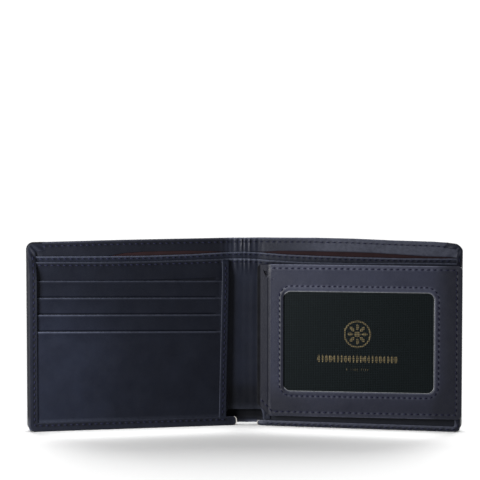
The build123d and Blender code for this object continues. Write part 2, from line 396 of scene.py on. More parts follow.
def sheet(name, ts, zs, front, back, place, rounded=(True, True), corners=(), pit=None,
          rub=None):
    """A closed sheet of leather over a grid, with rounded edges.

    front(t, z) and back(t, z) give the depth v of its two faces. An end that isn't
    rounded is cut square, to meet the next piece. corners lists squeezed corners.
    """
    t, z = np.meshgrid(ts, zs, indexing="ij")
    far = np.full(t.shape, 1e3)
    edge = np.minimum.reduce([
        t - ts[0] if rounded[0] else far,
        ts[-1] - t if rounded[1] else far,
        z - zs[0],
        zs[-1] - z,
    ])
    for corner in corners:
        t, z = squeeze(t, z, *corner)
    v_front, v_back = front(t, z), back(t, z)
    fall = fallen(edge, (v_front - v_back) / 2)
    top = place(t, v_front - fall, z).reshape(-1, 3)
    bottom = place(t, v_back + fall, z).reshape(-1, 3)
    index = np.arange(t.size).reshape(t.shape)
    faces = grid_faces(index) + [f[::-1] for f in grid_faces(index + t.size)]
    for row, is_round in ((index[0], rounded[0]), (index[-1], rounded[1])):
        if not is_round:
            faces += grid_faces(np.stack([row, row + t.size]))
    worn = np.tile(np.clip(1 - edge / WORN_WIDTH, 0, 1).ravel(), 2)
    # rub adds a painted highlight on top of the edge wear, and pit gives painted shade
    if rub is not None:
        worn[:t.size] = np.maximum(worn[:t.size], rub(t, z).ravel())
    painted_shades = np.zeros(t.size) if pit is None else pit(t, z).ravel()
    painted_shades = np.concatenate([painted_shades, 0 * painted_shades])
    return make_object(name, np.concatenate([top, bottom]), faces, wear=worn, pit=painted_shades)


def skin(name, columns, closed=False, wear=0.0, pit=0.0, raw_ends=(False, False)):
    """A skin over closed profiles. columns lists the lines of points that run along it."""
    sections = np.stack(columns, 1)
    along, around, _ = sections.shape
    index = np.arange(along * around).reshape(along, around)
    faces = grid_faces(index, closed_rows=closed, closed_columns=True)
    # wear also carries painted highlights, and pit painted shade
    worn, painted_shades = (np.array(np.broadcast_to(a, (along, around)), float) for a in (wear, pit))
    raw = np.zeros((along, around))
    if not closed:
        raw[0], raw[-1] = raw_ends
        faces += [tuple(int(i) for i in index[0]), tuple(int(i) for i in index[-1][::-1])]
    return make_object(name, sections.reshape(-1, 3), faces, wear=worn, pit=painted_shades, raw=raw)


def rounded_path(corners, radii, runs, bends, inset=0.0, closed=True):
    """Samples a polygon with rounded corners, moved to its left by inset.

    runs gives the number of steps along each side, bends those round the corner that
    ends it, so paths with different insets match point for point.
    """
    points = np.array(corners, float)
    count = len(points)
    sides = count if closed else count - 1
    ahead = [points[(i + 1) % count] - points[i] for i in range(sides)]
    ahead = [a / np.linalg.norm(a) for a in ahead]
    left = [np.array([-a[1], a[0]]) for a in ahead]
    vertices, cuts, rounds = [], [], []
    for i in range(count):
        if closed or 0 < i < count - 1:
            n0, n1 = left[i - 1], left[i % sides]
            radius = max(radii[i] - inset, 0.0)
            half_turn = math.acos(np.clip(n0 @ n1, -1, 1)) / 2
            vertices.append(points[i] + inset * (n0 + n1) / (1 + n0 @ n1))
            cuts.append(radius * math.tan(half_turn))
        else:
            radius, half_turn = 0.0, 0.0
            vertices.append(points[i] + inset * left[0 if i == 0 else -1])
            cuts.append(0.0)
        rounds.append((radius, half_turn))
    path = []
    for i in range(sides):
        j = (i + 1) % count
        start = vertices[i] + ahead[i] * cuts[i]
        end = vertices[j] - ahead[i] * cuts[j]
        path += [start + (end - start) * k / runs[i] for k in range(runs[i])]
        if closed or i < sides - 1:
            radius, half_turn = rounds[j]
            centre = end + left[i] * radius
            for k in range(bends[i]):
                angle = 2 * half_turn * k / bends[i]
                path.append(centre - left[i] * radius * math.cos(angle)
                            + ahead[i] * radius * math.sin(angle))
    if not closed:
        path.append(end)
    return np.array(path)


# ---- Seams and their stitches ----
def nearest(path, u, z):
    """Distance from points to a path, and the length along it where they are nearest."""
    best, along, run = np.full(np.shape(u), 1e9), np.zeros(np.shape(u)), 0.0
    for a, b in zip(path[:-1], path[1:]):
        d = b - a
        length = math.hypot(*d)
        if length < 1e-6:
            continue
        s = np.clip(((u - a[0]) * d[0] + (z - a[1]) * d[1]) / length**2, 0, 1)
        distance = np.hypot(u - a[0] - s * d[0], z - a[1] - s * d[1])
        along = np.where(distance < best, run + s * length, along)
        best = np.minimum(best, distance)
        run += length
    return best, along


def lengths_along(path):
    steps = np.linalg.norm(np.diff(path, axis=0), axis=1)
    return np.concatenate([[0], np.cumsum(steps)])


class Seam:
    """A line of stitches along a path of (t, z) points, divided into whole stitches."""

    def __init__(self, path, depth=0.16, pitch=STITCH_PITCH):
        self.path = np.array(path, float)
        self.depth = depth
        self.along = lengths_along(self.path)
        self.count = max(1, round(self.along[-1] / pitch))
        self.step = self.along[-1] / self.count

    def pit(self, u, z):
        """From 0 to 1, how hard the thread pulls the leather in: most at the needle holes. In a piece's colour it
        paints shade into the holes.
        """
        distance, along = nearest(self.path, u, z)
        pull = 0.55 + 0.45 * np.cos(2 * math.pi * along / self.step)
        return pull * np.exp(-((distance / 0.55) ** 2))

    def dent(self, u, z):
        return -self.depth * self.pit(u, z)

    def stitches(self, name, surface, place, radius=0.25):
        """Each stitch is a short, two-ply thread that dips into the leather at both ends."""
        rings, sides = 7, 8
        s = np.arange(self.count)[:, None, None]
        t = np.linspace(0, 1, rings)[None, :, None]
        angle = 2 * math.pi * np.arange(sides)[None, None, :] / sides
        at = (s + 0.13 + 0.74 * t) * self.step
        u, z = (np.interp(at, self.along, self.path[:, k]) for k in (0, 1))
        ahead = [
            np.interp(at + 0.05, self.along, self.path[:, k])
            - np.interp(at - 0.05, self.along, self.path[:, k])
            for k in (0, 1)
        ]
        length = np.maximum(np.hypot(*ahead), 1e-9)
        swell = np.sqrt(1 - 0.88 * (2 * t - 1) ** 2)
        twist = 1 + 0.15 * np.cos(2 * (angle - 3.0 * math.pi * t))
        across = radius * swell * twist * np.cos(angle) + 0.22 * (t - 0.5)
        rise = radius * (swell * twist * np.sin(angle) + 1.15 * np.sin(math.pi * t) - 0.75)
        base_v = surface(u, z)
        u2, z2 = u - across * ahead[1] / length, z + across * ahead[0] / length
        points = place(u2, base_v + rise, z2).reshape(-1, 3)
        faces = []
        for k in range(self.count):
            index = np.arange(rings * sides).reshape(rings, sides) + k * rings * sides
            faces += grid_faces(index, closed_columns=True)
            faces += end_caps(index)
        return dress(make_object(name, points, faces), "thread")


# ---- Materials ----
class Nodes:
    """A short way to write a node tree."""

    def __init__(self, name):
        self.material = bpy.data.materials.new(name)
        self.material.use_nodes = True
        self.tree = self.material.node_tree
        self.shader = self.tree.nodes["Principled BSDF"]
        self.coordinates = self.tree.nodes.new("ShaderNodeTexCoord").outputs["Object"]

    def add(self, kind, inputs, output=0, **settings):
        node = self.tree.nodes.new(kind)
        for key, value in settings.items():
            setattr(node, key, value)
        for key, value in inputs.items():
            if isinstance(value, bpy.types.NodeSocket):
                self.tree.links.new(value, node.inputs[key])
            else:
                node.inputs[key].default_value = value
        return node.outputs[output]

    def noise(self, scale, detail=3.0, rough=0.5):
        inputs = {"Vector": self.coordinates, "Scale": scale, "Detail": detail, "Roughness": rough}
        return self.add("ShaderNodeTexNoise", inputs, "Fac")

    def cells(self, scale):
        inputs = {"Vector": self.coordinates, "Scale": scale}
        return self.add("ShaderNodeTexVoronoi", inputs, "Distance", feature="DISTANCE_TO_EDGE")

    def ribs(self, direction, pitch, distortion=0.0):
        """Bands with this spacing in metres."""
        inputs = {"Vector": self.coordinates, "Scale": 0.314 / pitch, "Distortion": distortion}
        return self.add(
            "ShaderNodeTexWave", inputs, "Fac", wave_type="BANDS", bands_direction=direction
        )

    def math(self, operation, a, b):
        return self.add("ShaderNodeMath", {0: a, 1: b}, operation=operation)

    def ramp(self, value, low, high, out_low=0.0, out_high=1.0):
        inputs = {"From Min": low, "From Max": high, "To Min": out_low, "To Max": out_high}
        return self.add("ShaderNodeMapRange", {"Value": value, **inputs}, "Result")

    def mix(self, factor, a, b):
        colors = {6: color(a), 7: color(b)}
        return self.add("ShaderNodeMix", {0: factor, **colors}, 2, data_type="RGBA")

    def attribute(self, name):
        return self.add("ShaderNodeAttribute", {}, "Fac", attribute_name=name)

    def bump(self, height, strength, distance, normal=None):
        inputs = {"Height": height, "Strength": strength, "Distance": distance}
        if normal is not None:
            inputs["Normal"] = normal
        return self.add("ShaderNodeBump", inputs)

    def link(self, **sockets):
        for key, value in sockets.items():
            self.tree.links.new(value, self.shader.inputs[key.replace("_", " ")])

    def set(self, **values):
        for key, value in values.items():
            self.shader.inputs[key.replace("_", " ")].default_value = value
        return self.material


def color(value):
    return value if isinstance(value, bpy.types.NodeSocket) else (*value, 1.0)


def scaled(value, factor):
    return tuple(c * factor for c in value)


def leather(name, deep, face, worn, rough, shine):
    """Fine-grained semi-matt leather, lighter where its edges rub and where a highlight is painted, darker and rougher
    where shade is painted.
    """
    n = Nodes(name)
    pores = n.ramp(n.cells(2100), 0.0, 0.30)
    tint = n.mix(n.ramp(n.noise(105, 5), 0.2, 0.8), deep, face)
    tint = n.mix(n.ramp(pores, 0.0, 0.5, 0.30, 0.0), tint, scaled(deep, 0.4))
    patchy = n.ramp(n.noise(650, 3), 0.25, 0.6, 0.5, 1.0)
    # edge wear and painted highlights share one attribute and lighten the colour
    rub = n.math("MULTIPLY", n.attribute("wear"), patchy)
    tint = n.mix(rub, tint, worn)
    # painted shade: this attribute darkens the colour, nearly to black above 1, and roughens the leather
    tint = n.mix(n.ramp(n.attribute("pit"), 0.1, 0.9, 0.0, 0.8), tint, scaled(deep, 0.25))
    tint = n.mix(n.ramp(n.attribute("pit"), 1.0, 1.8), tint, scaled(deep, 0.08))
    fibre = n.noise(2400, 4, 0.7)
    raw = n.mix(n.ramp(fibre, 0.35, 0.65), (0.14, 0.13, 0.12), (0.42, 0.40, 0.37))
    tint = n.mix(n.attribute("raw"), tint, raw)
    wrinkle = n.bump(n.ramp(n.noise(380, 5, 0.6), 0.3, 0.7), 0.22, 0.00012)
    fuzz = n.math("MULTIPLY", n.noise(5200, 2), 0.3)
    grain = n.math("ADD", n.math("MULTIPLY", pores, 0.7), fuzz)
    gloss = n.ramp(n.noise(240, 3), 0.3, 0.7, rough - 0.05, rough + 0.06)
    n.link(
        Base_Color=tint,
        Roughness=n.math("ADD", gloss, n.ramp(n.attribute("pit"), 0.9, 1.6, 0.0, 0.5)),
        Normal=n.bump(grain, 0.5, 0.00006, wrinkle),
    )
    return n.set(Specular_IOR_Level=shine)


def woven(name, dark, light, pitch):
    """Plain-weave cloth."""
    n = Nodes(name)
    weave = n.math("MULTIPLY", n.ribs("Z", pitch, 0.5), n.ribs("X", pitch, 0.5))
    tint = n.mix(weave, dark, light)
    tint = n.mix(n.ramp(n.noise(160, 4), 0.3, 0.7, 0.0, 0.4), tint, scaled(dark, 0.6))
    n.link(Base_Color=tint, Normal=n.bump(weave, 0.6, 0.00008))
    return n.set(Roughness=0.85, Specular_IOR_Level=0.06, Sheen_Weight=0.02, Sheen_Roughness=0.5)


def plied(name, dark, light):
    """Sewing thread, with its slanting plies."""
    n = Nodes(name)
    ply = n.ribs("DIAGONAL", 0.00035, 1.2)
    n.link(Base_Color=n.mix(ply, dark, light), Normal=n.bump(ply, 0.5, 0.00005))
    return n.set(Roughness=0.6, Specular_IOR_Level=0.07, Sheen_Weight=0.01)


def mottled(name, dark, light, scale, **values):
    """A fine, even mottle: nylon yarn, extruded piping, pressed foil."""
    n = Nodes(name)
    haze = n.ramp(n.noise(scale, 4), 0.3, 0.7)
    n.link(Base_Color=n.mix(haze, dark, light), Normal=n.bump(haze, 0.25, 0.00003))
    return n.set(**values)


def laminate(name, dark, light):
    """Dark card under film, with a faint crossed pattern pressed in."""
    n = Nodes(name)
    lattice = n.math("MULTIPLY", n.ribs("X", 0.0009), n.ribs("Z", 0.0009))
    tint = n.mix(lattice, dark, light)
    tint = n.mix(n.ramp(n.noise(60, 3), 0.3, 0.7, 0.0, 0.5), tint, scaled(dark, 1.1))
    n.link(Base_Color=tint, Normal=n.bump(lattice, 0.2, 0.00004))
    return n.set(Roughness=0.5, Specular_IOR_Level=0.05)


MATERIALS = {name: kind(name, *looks, **values) for name, kind, looks, values in (
    ("shell_leather", leather, ((0.0034, 0.0041, 0.0074), (0.0066, 0.0077, 0.0134),
                                (0.058, 0.062, 0.084), 0.46, 0.08), {}),
    ("inner_leather", leather, ((0.0027, 0.0034, 0.0067), (0.0051, 0.0063, 0.0113),
                                (0.034, 0.038, 0.054), 0.46, 0.07), {}),
    # painted light: the flap is the same leather as inner_leather, given a lighter colour because more light falls on
    # it
    ("flap_leather", leather, ((0.0078, 0.0087, 0.0162), (0.0124, 0.0138, 0.0242),
                               (0.060, 0.064, 0.088), 0.44, 0.10), {}),
    ("lining", woven, ((0.005, 0.0020, 0.0024), (0.017, 0.0072, 0.0085), 0.0005), {}),
    ("thread", plied, ((0.0014, 0.0015, 0.0062), (0.0042, 0.0046, 0.0165)), {}),
    ("window_mesh", mottled, ((0.0010, 0.0021, 0.0025), (0.0056, 0.0088, 0.0100), 3000),
     {"Roughness": 0.5, "Specular_IOR_Level": 0.05}),
    ("piping", mottled, ((0.035, 0.037, 0.040), (0.090, 0.094, 0.100), 1200), {"Roughness": 0.35}),
    ("card", laminate, ((0.0006, 0.0010, 0.0011), (0.0012, 0.0019, 0.0020)), {}),
    ("foil", mottled, ((0.13, 0.096, 0.040), (0.23, 0.180, 0.088), 900),
     {"Metallic": 0.75, "Roughness": 0.45}),
)}


def dress(obj, name):
    """Gives a piece the material of a slot."""
    obj.data.materials.append(MATERIALS[name])
    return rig.slot(obj, name)


# ---- Following the bodies ----
def bend_at_crease(obj, side):
    """Beyond the crease the piece follows its half, before it the spine strip."""
    name = "left" if side < 0 else "right"
    start, end = (
        Vector(at_rest(side * (SPINE + reach), CREASE_DEPTH, 0)) for reach in (-BEND, BEND)
    )
    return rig.blend(obj, f"spine_{name}", f"{name}_half", start=start, end=end)


def bend_at_middle(obj):
    start, end = (Vector(at_rest(reach, CREASE_DEPTH, 0)) for reach in (-BEND, BEND))
    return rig.blend(obj, "spine_left", "spine_right", start=start, end=end)


def hang(obj, body, *nodes):
    """The piece moves with one body and stands for these CAD nodes."""
    if nodes:
        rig.replaces(obj, *nodes)
    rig.ride(obj, body)


def on_side(side, function):
    """A function of (x, z) as one of (t, z), on one side of the spine."""
    return function and (lambda t, z: function(side * t, z))


# ---- Shared shapes ----
def gathers(x, z, top, reach, depth):
    """Upright wrinkles under a top edge, where the leather is bunched over the spine."""
    fade = smooth(1 - (top - z) / reach) * smooth(1 - (np.abs(x + 1.5) - 5) / 8)
    folds = np.sin(2.7 * x + 0.9 * np.sin(0.8 * x)) + 0.45 * np.sin(4.9 * x + 1.3)
    return depth * folds * fade


def sag(x, z, heights):
    """The free top edge of a long layer droops: heights lists (x, rise) along it."""
    rise = np.interp(x, *zip(*heights))
    return z + rise * smooth((z - 40) / 35)


CROWN = [(-108, 0.3), (-60, 0.5), (-20, 0.4), (0, 0.4), (20, 0.7), (35, 0.95), (55, 0.95),
         (75, 0.5), (94, 0.35), (101, 0.0), (108, -0.8)]


def crown(x, z):
    """The shell's top edge isn't quite straight."""
    return z + np.interp(x, *zip(*CROWN)) * smooth((z - 74) / 16)


def raised_bottom(x, z, low_half, low_spine, reach=5.2, run=4.0):
    """The bottom edge rises to low_spine where it passes over the spine."""
    lift = (low_spine - low_half) * smooth(1 - (np.abs(x) - reach) / run)
    return z + lift * smooth(1 - (z - low_half) / 25)


def dusk(x, z):
    """Painted shade: the left half is darker towards the spine and towards its top."""
    inward, up = smooth((95 + x) / 45), smooth((z - 45) / 30)
    shade = 0.6 * inward + 0.6 * up * (1 - 0.85 * inward)
    return np.where(x < 0, shade * smooth((-x - 6) / 6), 0.0)


def spine_dusk(x, z):
    """Painted shade: the panel is darker low in the gutter between the halves."""
    shade = 0.3 * smooth((78 - z) / 12) + 0.6 * smooth((24 - z) / 10)
    return shade * smooth((10 - np.abs(x)) / 2)


def across_layer(stem, replaced, low, top, back_v, front, warp, step, fine_z, tip, fine_t=(),
                 corner=0.0, material="inner_leather", pit=None, rub=None, dimple=None):
    """One layer of the shell, in three pieces: left half, spine and right half.

    replaced names the CAD nodes it stands for, with {} for left and right, first those of
    the halves and then those of the spine.
    """
    def back(x, z):
        return back_v + (0 * x if dimple is None else dimple(x, z))

    made = []
    radius = (front(np.array(40.0), np.array(top - 1.0)) - back_v) / 2
    zs = lines(low, top, step[1], 0.3, radius, fine_z)
    for side, name in (*SIDES, (0, "spine")):
        if side:
            end = SPINE + tip
            ts = lines(SEAM_T, end, step[0], 0, 0.3, fine_t)
            corners = [corner_at(end, top, 1, 1, corner), corner_at(end, low, 1, -1, corner)]
            obj = sheet(
                f"{stem}_{name}", ts, zs, on_side(side, front), on_side(side, back),
                shell_place(side, warp), (False, True), corners if corner else (),
                on_side(side, pit), on_side(side, rub),
            )
            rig.replaces(obj, *[node.format(name) for node in replaced[0]])
            bend_at_crease(obj, side)
        else:
            xs = np.linspace(-SEAM_T, SEAM_T, 17)
            obj = sheet(f"{stem}_spine", xs, zs, front, back, shell_place(1, warp),
                        (False, False), (), pit, rub)
            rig.replaces(obj, *[node.format(n) for node in replaced[1] for _, n in SIDES])
            bend_at_middle(obj)
        made.append(dress(obj, material))
    return made


def across_seam(z, end_u, **settings):
    """Seams of a row of stitches that runs the whole width: left, spine and right."""
    return {
        "half": Seam([(SEAM_T, z), (SPINE + end_u, z)], **settings),
        "spine": Seam([(-SEAM_T, z), (SEAM_T, z)], pitch=SPINE_PITCH, **settings),
    }


def row_pit(seams, x, z):
    """Pits of an across seam at signed x."""
    t = np.abs(x)
    return np.where(t >= SEAM_T, seams["half"].pit(t, z), seams["spine"].pit(x, z))


def row_dent(seams, x, z):
    return -seams["half"].depth * row_pit(seams, x, z)


def row_shade(seams, x, z):
    """Painted shade in the stitch holes of a row, weaker on the darker left half."""
    return row_pit(seams, x, z) * (0.55 - 0.25 * smooth((-x - 8) / 10))


def outward(place):
    """The same placing function, with depths counted out of the back."""
    return lambda t, v, z: place(t, -v, z)


def across_stitches(stem, seams, front, warp, replaced=None, turn=lambda place: place):
    for side, name in SIDES:
        place = turn(shell_place(side, warp))
        obj = seams["half"].stitches(f"{stem}_{name}", on_side(side, front), place)
        if replaced:
            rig.replaces(obj, replaced.format(name))
        bend_at_crease(obj, side)
    bend_at_middle(seams["spine"].stitches(f"{stem}_spine", front, turn(shell_place(1, warp))))


# ---- Paths of the edge border and of its seam, which goes through to the outside ----
BORDER_WIDTHS = {"left": BORDER_WIDTH, "right": 2.7}
BORDER_RUNS, BORDER_BENDS = (150, 132, 12), (8, 12)
BORDER_START = {"left": 3.7, "right": SPINE - 0.7}        # where the bottom run starts, in t


def border_path(name, inset):
    corners = [(BORDER_START[name], 0), (SHELL_END, 0), (SHELL_END, HEIGHT),
               (SHELL_END - 9.5, HEIGHT)]
    radii = (0, TIP_RADIUS, TIP_RADIUS, 0)
    return rounded_path(corners, radii, BORDER_RUNS, BORDER_BENDS, inset, closed=False)


def border_middle(name):
    """The middle of the border, and the length along it."""
    middle = border_path(name, BORDER_MIDDLE)
    return middle, lengths_along(middle)


def border_seam(name):
    path = border_path(name, BORDER_WIDTHS[name] - 1.5)
    _, along = border_middle(name)
    return Seam(path[(along > 5.5) & (path[:, 1] < HEIGHT - 6)])


border_seams = {name: border_seam(name) for _, name in SIDES}


# ---- Outer shell: cover with its top edge turned in as a stitched hem ----
hem_low = HEIGHT - HEM_HEIGHT
hem_seams = across_seam(HEIGHT - HEM_SEAM, TIP - 7.5)


def corner_pleats(x, z):
    """Small folds of the hem that radiate from each top corner."""
    a, b = SHELL_END - np.abs(x), HEIGHT - z
    distance, angle = np.hypot(a, b), np.arctan2(b, a)
    window = smooth((distance - 4) / 2) * smooth((13 - distance) / 4)
    return 0.16 * window * np.sin(11 * angle + 0.6)


HEM_DROP = [(-108, 1.9), (-98, 1.95), (-85, 2.4), (-68, 2.8), (-60, 1.5), (-50, 1.0), (-27, 1.0),
            (-16, 1.5), (-9, 2.0), (10, 2.0), (18, 1.5), (25, 1.6), (35, 1.6), (50, 1.65),
            (62, 1.6), (77, 1.85), (84, 2.1), (92, 2.4), (99, 2.2), (108, 1.9)]


def hem_edge(x):
    """Lower edge of the turned hem: it hangs lower over the spine and towards the tips."""
    return hem_low + 0.05 - np.interp(x, *zip(*HEM_DROP))


def hem_rub(x, z):
    """Painted highlight: the hem of the right half is lighter, where more light falls on it."""
    return 0.3 * smooth((x - 12) / 40) * smooth((z - hem_edge(x)) / 1.0)


def shell_front(x, z):
    hem = smooth((z - hem_edge(x)) / 0.25)
    detail = gathers(x, z, HEIGHT, 14, 0.24) + row_dent(hem_seams, x, z) + corner_pleats(x, z)
    return COVER_T + hem * (HEM_V - COVER_T + detail)


def notch_shade(x, z):
    """Painted shade: the leather is darker in the opening at the foot of the spine."""
    return 1.5 * smooth((12 - z) / 2) * smooth(z / 4) * smooth((10 - np.abs(x)) / 1.5)


def outer_dimple(x, z):
    """The seams pull in the outer face too."""
    left, right = (border_seams[name].pit(np.abs(x), z) for _, name in SIDES)
    edge = np.where(x < 0, left, right)
    return 0.12 * np.maximum(row_pit(hem_seams, x, z), edge)


def outer_face(x, z):
    return -outer_dimple(x, z)


def shell_warp(x, z):
    return crown(x, raised_bottom(x, z, 0.0, SPINE_BOTTOM))


across_layer(
    "shell", (["cover_{}", "top_hem_{}"], ["spine_cover_{}", "spine_top_hem_{}"]),
    0.0, HEIGHT, 0.0, shell_front, shell_warp, (0.66, 4.0),
    [*np.arange(hem_low - 2.9, hem_low - 0.6, 0.13), *about(HEIGHT - HEM_SEAM, 0.3, 0.6, 1.0),
     HEIGHT - 4.2, *about(3.0, 0.35, 0.75, 1.3), *about(2.0, 0.3), 6.0, 7.5, 9.0, 10.5, 12.0],
    TIP, [TIP - k + SPINE for k in (2.65, 3.35)], corner=TIP_RADIUS, material="shell_leather",
    # painted shade in the stitch holes, in the notch at the spine's foot and on the left half; painted highlight on
    # the right half's hem
    pit=lambda x, z: row_shade(hem_seams, x, z) + notch_shade(x, z) + dusk(x, z),
    rub=hem_rub, dimple=outer_dimple,
)
across_stitches("stitches_hem", hem_seams, shell_front, shell_warp, "thread_hem_{}")
across_stitches("stitches_outer_hem", hem_seams, outer_face, shell_warp, turn=outward)
for side, name in SIDES:
    place = outward(shell_place(side, shell_warp))
    stem = f"stitches_outer_edge_{name}"
    hang(border_seams[name].stitches(stem, on_side(side, outer_face), place), f"{name}_half")


# ---- Lining, note divider and inner panel ----
def lining_front(x, z):
    return LINING_V + LINING_T + 0.04 * np.sin(0.5 * z) * np.sin(0.31 * x)


def lining_warp(x, z):
    return raised_bottom(x, z, 0.9, SPINE_PANEL_BOTTOM + 6, 9.5, 2.0)


lining_top = hem_low + 0.3
lining = across_layer(
    "lining_cloth", (["lining_{}"], ["spine_lining_{}"]), 0.9, lining_top, LINING_V,
    lining_front, lining_warp, (2.5, 4.0), [], TIP - 0.8, material="lining",
)
for piece, (_, name), strip in zip(lining, SIDES, ([lining[2]], [])):
    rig.sheet(
        piece, flat=((TIP + SEAM_T) * MM, lining_top * MM), held="stretched",
        rests_on=[f"shell_{name}"], with_pieces=strip,
    )

DIVIDER_DROOP = [(-108, 0.0), (-99, -0.2), (-75, -0.7), (-50, -1.05), (-27, -0.85),
                 (-10, -0.25), (0, 0.0), (9, -0.4), (20, -1.05), (35, -1.4), (53, -1.6),
                 (78, -1.65), (98, -1.3), (108, -1.0)]
PANEL_DROOP = [(-108, 0.2), (-99, 0.15), (-75, -0.45), (-50, -0.7), (-25, -0.5), (-10, -0.35),
               (0, -0.3), (7, -0.55), (13, -1.0), (28, -1.55), (53, -1.6), (78, -0.8),
               (98, -0.5), (108, -0.4)]

divider_seams = across_seam(DIVIDER_TOP - DIVIDER_SEAM, TIP - 5.5)


def divider_front(x, z):
    dent = row_dent(divider_seams, x, z)
    return DIVIDER_V + LEATHER_T + dent + gathers(x, z, DIVIDER_TOP, 7, 0.05)


def divider_warp(x, z):
    return sag(x, raised_bottom(x, z, WALL + 0.1, SPINE_PANEL_BOTTOM, 8.6, 1.8), DIVIDER_DROOP)


across_layer(
    "divider", (["bill_divider_{}"], ["spine_divider_{}"]), WALL + 0.1, DIVIDER_TOP, DIVIDER_V,
    divider_front, divider_warp, (0.66, 5.0), about(DIVIDER_TOP - DIVIDER_SEAM, 0.3, 0.6),
    TIP - 0.7,
    # painted shade in the stitch holes and, weaker, on the left half
    pit=lambda x, z: row_shade(divider_seams, x, z) + 0.3 * dusk(x, z),
)
across_stitches("stitches_divider", divider_seams, divider_front, divider_warp)

panel_seams = across_seam(PANEL_TOP - PANEL_SEAM, TIP - 5.0, depth=0.12)


def mouth_dip(z, mouths):
    """Behind each pocket mouth the layer is pressed back a little."""
    return sum(-0.33 * np.exp(-(((z - mouth - 0.1) / 0.5) ** 2)) for mouth in mouths)


def mouth_shade(x, z, mouths):
    """Painted shade where a layer goes down behind a pocket mouth."""
    beside = smooth((np.abs(x) - SPINE - STRIP_END) / 1.5)
    return beside * sum(smooth((mouth + 0.8 - z) / 0.5) * smooth((z - mouth + 2) / 0.5)
                        for mouth in mouths)


def panel_front(x, z):
    t = np.abs(x)
    beside = smooth((t - SPINE - STRIP_END + 0.5) / 2)
    shape = gathers(x, z, PANEL_TOP, 9, 0.17) + row_dent(panel_seams, x, z)
    channel = -0.35 * smooth(1 - t / 9.5) * smooth((PANEL_TOP - z) / 14)
    folds = 0.018 * np.sin(1.75 * x + 0.8 * np.sin(0.045 * z) + 0.4) * smooth((9.5 - t) / 2.5)
    return PANEL_V + LEATHER_T + shape + channel + folds + beside * mouth_dip(z, POCKET_TOPS[:1])


def panel_warp(x, z):
    return sag(x, raised_bottom(x, z, WALL + 0.1, SPINE_PANEL_BOTTOM, 8.6, 1.8), PANEL_DROOP)


DIP_OFFSETS = (0.2, 0.45, 0.8, 1.2)      # grid lines above and below each dip, mm
across_layer(
    "panel", (["inner_panel_{}"], ["spine_panel_{}"]), WALL + 0.1, PANEL_TOP, PANEL_V,
    panel_front, panel_warp, (0.62, 4.0),
    [*about(PANEL_TOP - PANEL_SEAM, 0.3, 0.6), *about(POCKET_TOPS[0] + 0.1, *DIP_OFFSETS),
     80, 78, 76], TIP - 0.7,
    # painted shade in the stitch holes, low in the gutter, behind the first pocket mouth and on the left half
    pit=lambda x, z: row_shade(panel_seams, x, z) + spine_dusk(x, z)
    + np.maximum(mouth_shade(x, z, POCKET_TOPS[:1]), dusk(x, z)),
)
across_stitches("stitches_panel", panel_seams, panel_front, panel_warp, "thread_panel_top_{}")


# ---- Card pockets: four stacked sheets on each half, each with a turned top edge ----
def pocket_warp(x, z):
    """The pockets are sewn in very slightly askew."""
    return z + 0.0245 * (np.abs(x) - 67) * smooth(z / 35)


def card_pocket(side, name, number):
    top = POCKET_TOPS[number - 1]
    v0 = POCKETS_V + (number - 1) * POCKET_STEP
    start, end = SPINE + STRIP_START + WALL + 0.1, SHELL_END - WALL - 0.1
    next_mouths = POCKET_TOPS[number:number + 1]

    def front(t, z):
        clear = smooth((t - SPINE - STRIP_END + 0.4) / 2)
        clear = clear * smooth((SHELL_END - BORDER_WIDTH + 0.4 - t) / 2)
        turned = 0.22 * smooth((z - top + TURNED_EDGE) / 0.5)
        return v0 + POCKET_T + clear * (turned + mouth_dip(z, next_mouths))

    def pit(t, z):
        # painted shade behind the next pocket mouth and on the left half, and low on the right half under the flap
        shade = np.maximum(mouth_shade(t, z, next_mouths), dusk(side * t, z))
        return shade + (side > 0) * smooth((9 - z) / 2)

    fine = [top - 0.9, *about(top - 1.65, 0.25)]
    for mouth in next_mouths:
        fine += about(mouth + 0.1, *DIP_OFFSETS)
    zs = lines(WALL + 0.1, top, 5.0, 0.2, 0.33, fine)
    ts = lines(start, end, 2.5, 0.2, 0.2, [SPINE + STRIP_END + k for k in (-0.4, 0.3, 1.0, 1.6)])
    place = shell_place(side, pocket_warp)
    obj = sheet(f"pocket_{number}_{name}", ts, zs, front, level(v0), place, pit=pit)
    hang(dress(obj, "inner_leather"), f"{name}_half", f"card_pocket_{number}_{name}")


for side, name in SIDES:
    for number in (1, 2, 3, 4):
        card_pocket(side, name, number)


